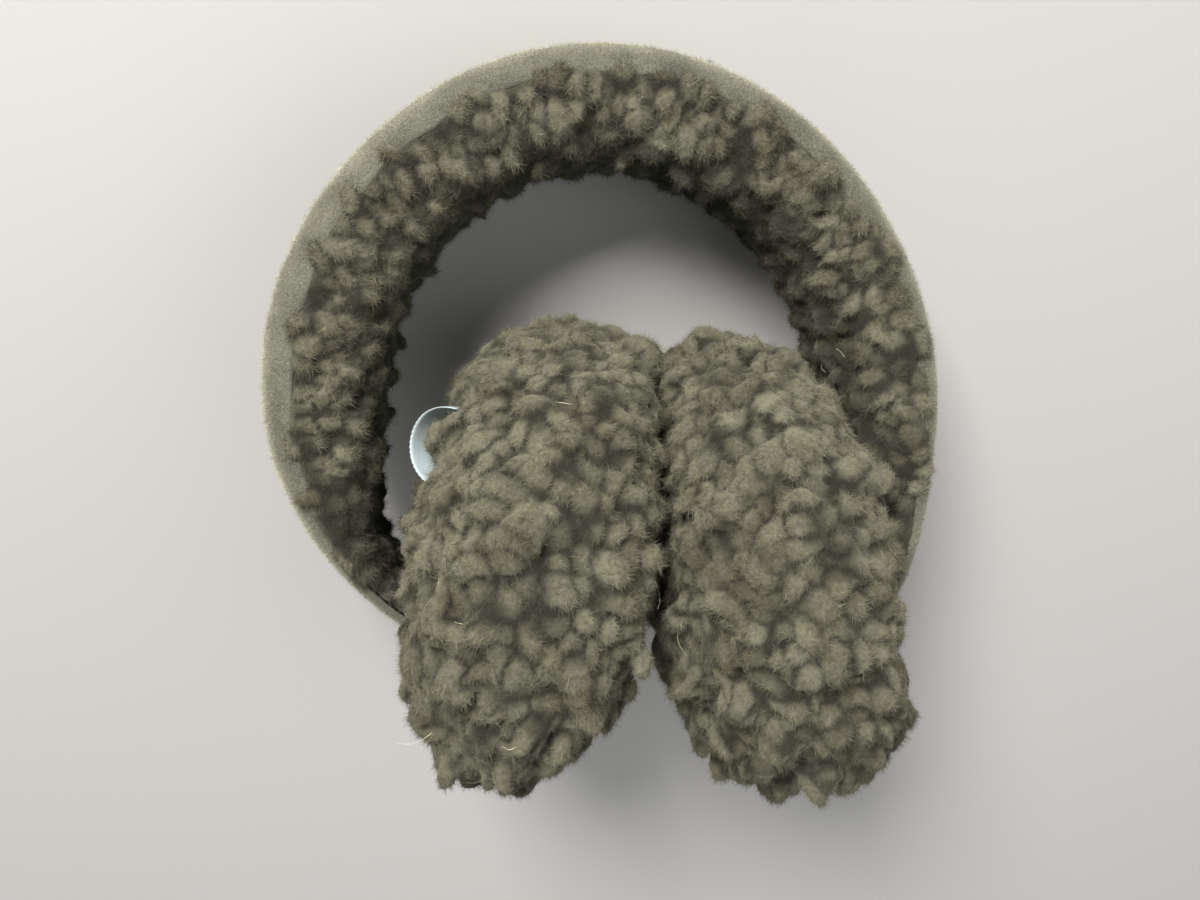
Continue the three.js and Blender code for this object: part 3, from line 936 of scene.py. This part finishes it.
def band_locks(skin, suede, others, rng):
    """The locks of the band: fine tufts that run from the suede's edge to the ring's middle."""
    home = RING.inverted()

    def spacing_at(points):
        return np.full(len(points), 3.5 * MM)

    def usable_at(points, normals):
        return suede.distance(points + normals * 1.5 * MM) > 1.2 * MM

    roots, normals = scattered(skin, spacing_at, usable_at, rng)
    count = len(roots)
    inside = moved(home, roots)
    spoke = unit(inside * [1, 0, 1])
    front = np.sign(inside[:, 1]) * ease(0, 14 * MM, np.abs(inside[:, 1]))
    clear = np.min([other.distance(roots + normals * 2 * MM) for other in others], axis=0)
    share = band_share(roots)
    edge = 1 - ease(2.5 * MM, 6 * MM, suede.distance(roots + normals * 1.5 * MM))
    spilled = edge * (rng.random(count) < 0.6)
    local = (
        spoke * (1.6 * spilled - 0.9)[:, None]
        + np.stack([front * 0, front, front * 0], axis=1) * 0.35
        + drift(inside, 13 * MM, 4) * 0.9
        + rng.normal(0, 0.25, (count, 3))
    )
    wanted = turned(RING, local)
    flow = unit(wanted - normals * (wanted * normals).sum(1, keepdims=True))
    room = np.maximum(ease(1 * MM, 6 * MM, clear), edge) * share
    inner = ease(0.2, 0.9, -(turned(home, normals) * spoke).sum(1))
    return {
        "root": roots,
        "normal": normals,
        "flow": flow,
        "length": rng.uniform(6, 9, count) * MM * (1 - 0.25 * edge) * (0.3 + 0.7 * room),
        "radius": rng.uniform(1.4, 2.0, count) * MM * (0.7 + 0.3 * room),
        "bend": rng.uniform(1.2, 1.9, count) * (1 - 0.3 * edge),
        "stretch": rng.uniform(1.5, 2.4, count) - 0.5 * edge,
        "height": rng.uniform(0.5, 1.0, count) * (0.3 + 0.7 * room),
        "free": (0.12 + 0.5 * edge) * share,
        # Painted shade: the band's wool is made darker, and most on its inner face towards the ring's
        # middle, where less light falls.
        "bright": 0.9 - 0.5 * inner,
        "dense": 1 + 1.5 * edge,
    }


def make_band_fleece(wool):
    """The fleece on the inside and both faces of the band."""
    suede = node_skin("headband_suede")
    pads = [node_skin("ear_pad_left"), node_skin("ear_pad_right")]
    rng = np.random.default_rng(BAND_SEED)
    skin = smooth_skin("headband_fleece", 1.2 * MM, 24)
    beyond = suede.distance(skin.points + skin.normals * MM)
    share = band_share(skin.points)
    bare = ease(0.2 * MM, 1.5 * MM, beyond) * share
    ridge = ease(0.3 * MM, 1 * MM, beyond) * (1 - ease(2.5 * MM, 6 * MM, beyond)) * share
    skin = skin.inset((0.3 + 1.3 * bare - 2.6 * ridge)[:, None] * MM)
    locks = band_locks(skin, suede, [suede, *pads], rng)
    piece, hairs = grow_wool("band_wool", skin, locks, wool.band_rise * bare, wool, rng)
    dress_wool(piece, hairs, wool, "headband_fleece")


def from_table(table, angles, column):
    """A column of a table at angles, on a smooth curve through the rows."""
    keys = np.array([row["angle"] for row in table], float)
    values = np.array([row[column] for row in table], float)
    slopes = np.empty(len(keys))
    slopes[1:-1] = (values[2:] - values[:-2]) / (keys[2:] - keys[:-2])
    slopes[0] = (values[1] - values[0]) / (keys[1] - keys[0])
    slopes[-1] = (values[-1] - values[-2]) / (keys[-1] - keys[-2])
    i = np.clip(np.searchsorted(keys, angles) - 1, 0, len(keys) - 2)
    width = keys[i + 1] - keys[i]
    part = np.clip((angles - keys[i]) / width, 0, 1)
    squared, cubed = part**2, part**3
    return (
        (2 * cubed - 3 * squared + 1) * values[i]
        + (cubed - 2 * squared + part) * slopes[i] * width
        + (3 * squared - 2 * cubed) * values[i + 1]
        + (cubed - squared) * slopes[i + 1] * width
    )


def band_points(angles, turns, grown):
    """Places on the band in the ring's frame: angles round the ring, turns round its section."""
    outside = RING_RADIUS * from_table(BAND_SECTIONS, angles, "radius")
    half_depth = BAND_DEPTH * from_table(BAND_SECTIONS, angles, "depth") / 2
    half_width = BAND_WIDTH / 2 - SUEDE_WALL - SEAM_GAP
    middle = outside - SUEDE_WALL - SEAM_GAP - half_depth
    cos, sin = np.cos(turns), np.sin(turns)
    out = (half_depth + grown) * np.sign(cos) * np.abs(cos) ** (2 / BAND_SQUARENESS)
    back = (half_width + grown) * np.sign(sin) * np.abs(sin) ** (2 / BAND_SQUARENESS)
    spoke = np.radians(angles)
    reach = middle + out
    return np.stack([reach * np.cos(spoke), back, reach * np.sin(spoke)], axis=-1)


def lip_points(angles, turn, steps):
    """The round lip of the suede's edge at a turn, from its outside over to its inside."""
    side = np.sign(turn)
    outer = band_points(angles, turn, SEAM_GAP + SUEDE_WALL)
    inner = band_points(angles, turn, SEAM_GAP)
    beyond = unit(band_points(angles, turn + 0.02 * side, SEAM_GAP) - inner)
    middle, half = (outer + inner) / 2, (outer - inner) / 2
    swing = np.linspace(0, math.pi, steps + 2)[1:-1, None]
    return (
        middle[:, None]
        + half[:, None] * np.cos(swing)
        + beyond[:, None] * np.linalg.norm(half, axis=1)[:, None, None] * np.sin(swing)
    )


def quads(*corners):
    """Two triangles for each four corners."""
    a, b, c, d = (corner.ravel() for corner in corners)
    return np.concatenate([np.stack([a, b, c], 1), np.stack([a, c, d], 1)])


def ring_triangles(lengths, count):
    """Triangles between rings of points, and over the first and the last ring."""
    rings = np.arange(lengths * count).reshape(lengths, count)
    turned_on = np.roll(rings, -1, axis=1)
    walls = quads(rings[:-1], turned_on[:-1], turned_on[1:], rings[1:])
    k = np.arange(count // 2 - 1)
    cap = quads(k, k + 1, count - 2 - k, count - 1 - k)
    return np.concatenate([walls, cap[:, ::-1], cap + (lengths - 1) * count])


def make_band_suede(suede):
    """The suede round the outside of the band, turned in over its edges, with a soft hand."""
    lengths, across, lip = 300, 20, 4
    angles = np.linspace(BAND_SECTIONS[0]["angle"], BAND_SECTIONS[-1]["angle"], lengths)
    uneven = np.array([noise.noise_vector(Vector((a / 6, 3, 5))) for a in angles]) * 0.025
    front, back = -suede.turn * (1 + uneven[:, 0]), suede.turn * (1 + uneven[:, 1])
    share = np.linspace(0, 1, across)
    turns = front[:, None] + (back - front)[:, None] * share
    rings = np.concatenate(
        [
            band_points(angles[:, None], turns, SEAM_GAP + SUEDE_WALL),
            lip_points(angles, back, lip),
            band_points(angles[:, None], turns[:, ::-1], SEAM_GAP),
            lip_points(angles, front, lip)[:, ::-1],
        ],
        axis=1,
    )
    count = rings.shape[1]
    triangles = ring_triangles(lengths, count)
    walls = 2 * (lengths - 1) * count
    skin = Skin(moved(RING, rings.reshape(-1, 3)), triangles)
    swell = drift(skin.points, 11 * MM, 6)[:, :1] * suede.swell
    skin = Skin(skin.points + skin.normals * swell, triangles)
    mesh = mesh_of("band_suede", skin.points, triangles)
    put_attribute(mesh, "edge", suede_edge_for_painted_shade(skin.points))
    piece = link("band_suede", mesh)
    dress(piece, suede_material("Brushed Suede", suede, 1.0), ["headband_suede"])
    outside = (triangles[:, 0] % count < across - 1) & (np.arange(len(triangles)) < walls)
    make_suede_nap(skin, outside, suede)


def suede_edge_for_painted_shade(points):
    """How near places on the suede are to its edge, by their distance from the band's middle, which sets
    the painted shade by the fleece.
    """
    return ease(12 * MM, 21.5 * MM, np.abs(moved(RING.inverted(), points)[:, 1]))


def make_suede_nap(skin, outside, suede):
    """The short fibres of the suede's nap."""
    rng = np.random.default_rng(NAP_SEED)
    places, out = skin.sample(suede.nap_count, outside, rng)
    count = len(places)
    headings = unit(out * rng.uniform(0.2, 1.1, (count, 1)) + rng.normal(0, 0.6, (count, 3)))
    lengths = rng.uniform(0.5, 1.5, count) * MM
    widths = rng.uniform(0.07, 0.14, count) * MM
    points, triangles = fibres(places, headings, lengths, widths, rng)
    mesh = mesh_of("band_suede_nap", above_floor(points, FLOOR_GAP), triangles)
    put_attribute(mesh, "edge", suede_edge_for_painted_shade(points))
    piece = link("band_suede_nap", mesh)
    # Painted highlight: the nap fibres take the suede's colour 2.4 times paler, standing for light caught
    # on the nap.
    dress(piece, suede_material("Suede Nap", suede, 2.4))


def slab_triangles(steps, across):
    """Triangles of two layers of a grid, with the walls between their rims."""
    under, over = np.arange(2 * steps * across).reshape(2, steps, across)
    return np.concatenate(
        [
            quads(under[:-1, :-1], under[:-1, 1:], under[1:, 1:], under[1:, :-1]),
            quads(over[:-1, :-1], over[1:, :-1], over[1:, 1:], over[:-1, 1:]),
            quads(under[:-1, 0], under[1:, 0], over[1:, 0], over[:-1, 0]),
            quads(under[:-1, -1], over[:-1, -1], over[1:, -1], under[1:, -1]),
            quads(under[0, :-1], over[0, :-1], over[0, 1:], under[0, 1:]),
            quads(under[-1, :-1], under[-1, 1:], over[-1, 1:], over[-1, :-1]),
        ]
    )


def make_label_loop(ribbon):
    """The ribbon loop in the left pad's side, with a picot edge."""
    place = (
        pad_matrix("left") @ Matrix.Translation(LOOP_CENTRE) @ Matrix.Rotation(LOOP_TURN, 4, "Z")
    )
    reach, root, rise = 10 * MM, 3 * MM, 20 * MM
    steps, across = 96, 12
    bend = np.linspace(-math.pi / 2, math.pi / 2, steps)
    out = (reach + root) * np.maximum(np.cos(bend), 0) ** 0.8 - root
    line = np.stack([out, np.zeros(steps), rise / 2 * np.sin(bend)], axis=1)
    along = np.concatenate([[0], np.cumsum(np.linalg.norm(np.diff(line, axis=0), axis=1))])
    even = np.linspace(0, along[-1], steps)
    line = np.stack([np.interp(even, along, line[:, k]) for k in range(3)], axis=1)
    heading = unit(np.gradient(line, axis=0))
    wall = np.stack([heading[:, 2], np.zeros(steps), -heading[:, 0]], axis=1)
    picot = 0.35 * MM * np.abs(np.sin(even / (1.3 * MM) * math.pi))
    shares = np.linspace(-1, 1, across)
    thin = ribbon.wall / 2 * (1 - 0.75 * np.abs(shares) ** 8)
    wide = shares * (ribbon.width / 2 + picot)[:, None]
    edgewise = wide[..., None] * [0, 1, 0]
    layers = [
        line[:, None] + (wall * face)[:, None] * thin[:, None] + edgewise for face in (-1, 1)
    ]
    points = moved(place, np.reshape(layers, (-1, 3)))
    mesh = mesh_of("label_ribbon", points, slab_triangles(steps, across))
    put_attribute(mesh, "along", np.tile(np.repeat(even, across), 2))
    put_attribute(mesh, "across", np.tile(wide.ravel(), 2))
    piece = link("label_ribbon", mesh)
    dress(piece, ribbon_material(ribbon), ["label_loop"])


# Stage


def area_light(name, place, target, size, power, colour):
    """A soft square light that faces its target."""
    lamp = bpy.data.lights.new(name, "AREA")
    lamp.size = size
    lamp.energy = power
    lamp.color = colour
    light = bpy.data.objects.new(name, lamp)
    bpy.context.scene.collection.objects.link(light)
    light.location = place
    light.rotation_mode = "QUATERNION"
    light.rotation_quaternion = (Vector(target) - Vector(place)).to_track_quat("-Z", "Y")


def make_floor(stage):
    """A wide plain floor."""
    half = 3.0
    floor = link(
        "floor",
        mesh_of(
            "floor",
            [(-half, -half, 0), (half, -half, 0), (half, half, 0), (-half, half, 0)],
            [(0, 1, 2), (0, 2, 3)],
        ),
    )
    floor.data.materials.append(floor_material(stage))


def make_lights():
    """A pale room, a soft light beyond the band's top, and fill from the right and the pads' side."""
    middle = (CAD_BOUNDS[0] + CAD_BOUNDS[1]) / 2
    world = bpy.data.worlds.new("Soft Room")
    world.use_nodes = True
    background = world.node_tree.nodes["Background"]
    background.inputs["Color"].default_value = (1, 0.99, 0.97, 1)
    background.inputs["Strength"].default_value = 0.25
    bpy.context.scene.world = world
    area_light("key_light", (-0.35, 0.85, 0.75), middle, 0.4, 24, (1, 0.98, 0.95))
    area_light("fill_light", (0.6, 0.1, 0.9), middle, 0.8, 3, (0.97, 0.98, 1))
    area_light("front_light", (0.1, -1.0, 0.45), middle, 0.8, 2.5, (0.98, 0.99, 1))


def swung(first, second, angle):
    """Two directions at right angles, turned together."""
    cos, sin = math.cos(angle), math.sin(angle)
    return first * cos - second * sin, second * cos + first * sin


def make_camera(stage):
    """The camera at the photograph's angle to the ring."""
    turn, rise = stage.camera_turn, stage.camera_rise
    back = Vector(
        (-math.sin(turn) * math.cos(rise), -math.cos(turn) * math.cos(rise), math.sin(rise))
    )
    ahead = -back
    right = ahead.cross(Vector((0, 0, 1))).normalized()
    up = right.cross(ahead)
    focal = stage.lens / SENSOR_WIDTH * PHOTO_WIDTH
    pitch, yaw = math.atan(PHOTO_UP / focal), math.atan(PHOTO_RIGHT / focal)
    ahead, up = swung(ahead, up, pitch)
    ahead, right = swung(ahead, right, yaw)
    facing = Matrix((right, up, -ahead)).transposed().to_4x4()
    camera = bpy.data.objects.new("camera", bpy.data.cameras.new("camera"))
    bpy.context.scene.collection.objects.link(camera)
    camera.data.lens = stage.lens
    camera.data.sensor_width = SENSOR_WIDTH
    camera.data.clip_start = 0.01
    camera.matrix_world = RING @ Matrix.Translation(back * stage.camera_distance) @ facing
    bpy.context.scene.camera = camera


def make_stage(stage):
    """The floor, the lights and the camera."""
    make_floor(stage)
    make_lights()
    make_camera(stage)
    bpy.context.scene.view_settings.view_transform = "Standard"


# Add-on


class EARMUFFS_OT_band_suede(bpy.types.Operator):
    """Make the suede of the headband"""

    bl_idname = "earmuffs.band_suede"
    bl_label = "Band Suede"

    def execute(self, context):
        make_band_suede(context.scene.earmuffs_suede)
        return {"FINISHED"}


class EARMUFFS_OT_band_fleece(bpy.types.Operator):
    """Grow the fleece inside the headband"""

    bl_idname = "earmuffs.band_fleece"
    bl_label = "Band Fleece"

    def execute(self, context):
        make_band_fleece(context.scene.earmuffs_wool)
        return {"FINISHED"}


class EARMUFFS_OT_ear_pads(bpy.types.Operator):
    """Grow the curled wool of both ear pads"""

    bl_idname = "earmuffs.ear_pads"
    bl_label = "Ear Pads"

    def execute(self, context):
        make_pads(context.scene.earmuffs_wool)
        return {"FINISHED"}


class EARMUFFS_OT_label_loop(bpy.types.Operator):
    """Make the ribbon loop in the left pad's side"""

    bl_idname = "earmuffs.label_loop"
    bl_label = "Label Loop"

    def execute(self, context):
        make_label_loop(context.scene.earmuffs_ribbon)
        return {"FINISHED"}


class EARMUFFS_OT_stage(bpy.types.Operator):
    """Make the floor, the lights and the camera"""

    bl_idname = "earmuffs.stage"
    bl_label = "Stage"

    def execute(self, context):
        make_stage(context.scene.earmuffs_stage)
        return {"FINISHED"}


class EARMUFFS_PT_panel(bpy.types.Panel):
    """Lists the earmuffs' settings and pieces in the sidebar"""

    bl_idname = "EARMUFFS_PT_panel"
    bl_label = "Earmuffs"
    bl_space_type = "VIEW_3D"
    bl_region_type = "UI"
    bl_category = "Earmuffs"

    def draw(self, context):
        for name in SETTINGS:
            group = getattr(context.scene, name)
            box = self.layout.box()
            for key in group.__annotations__:
                box.prop(group, key)
        for operator in OPERATORS:
            self.layout.operator(operator.bl_idname)


SETTINGS = {
    "earmuffs_wool": WoolSettings,
    "earmuffs_suede": SuedeSettings,
    "earmuffs_ribbon": RibbonSettings,
    "earmuffs_stage": StageSettings,
}
OPERATORS = (
    EARMUFFS_OT_band_fleece,
    EARMUFFS_OT_band_suede,
    EARMUFFS_OT_ear_pads,
    EARMUFFS_OT_label_loop,
    EARMUFFS_OT_stage,
)


def register():
    for group in (*SETTINGS.values(), *OPERATORS, EARMUFFS_PT_panel):
        bpy.utils.register_class(group)
    for name, group in SETTINGS.items():
        setattr(bpy.types.Scene, name, bpy.props.PointerProperty(type=group))


def unregister():
    for name in SETTINGS:
        delattr(bpy.types.Scene, name)
    for group in (EARMUFFS_PT_panel, *OPERATORS, *SETTINGS.values()):
        bpy.utils.unregister_class(group)


def main():
    """Makes every piece and the stage."""
    register()
    for operator in OPERATORS:
        category, name = operator.bl_idname.split(".")
        getattr(getattr(bpy.ops, category), name)()


if __name__ == "__main__":
    main()
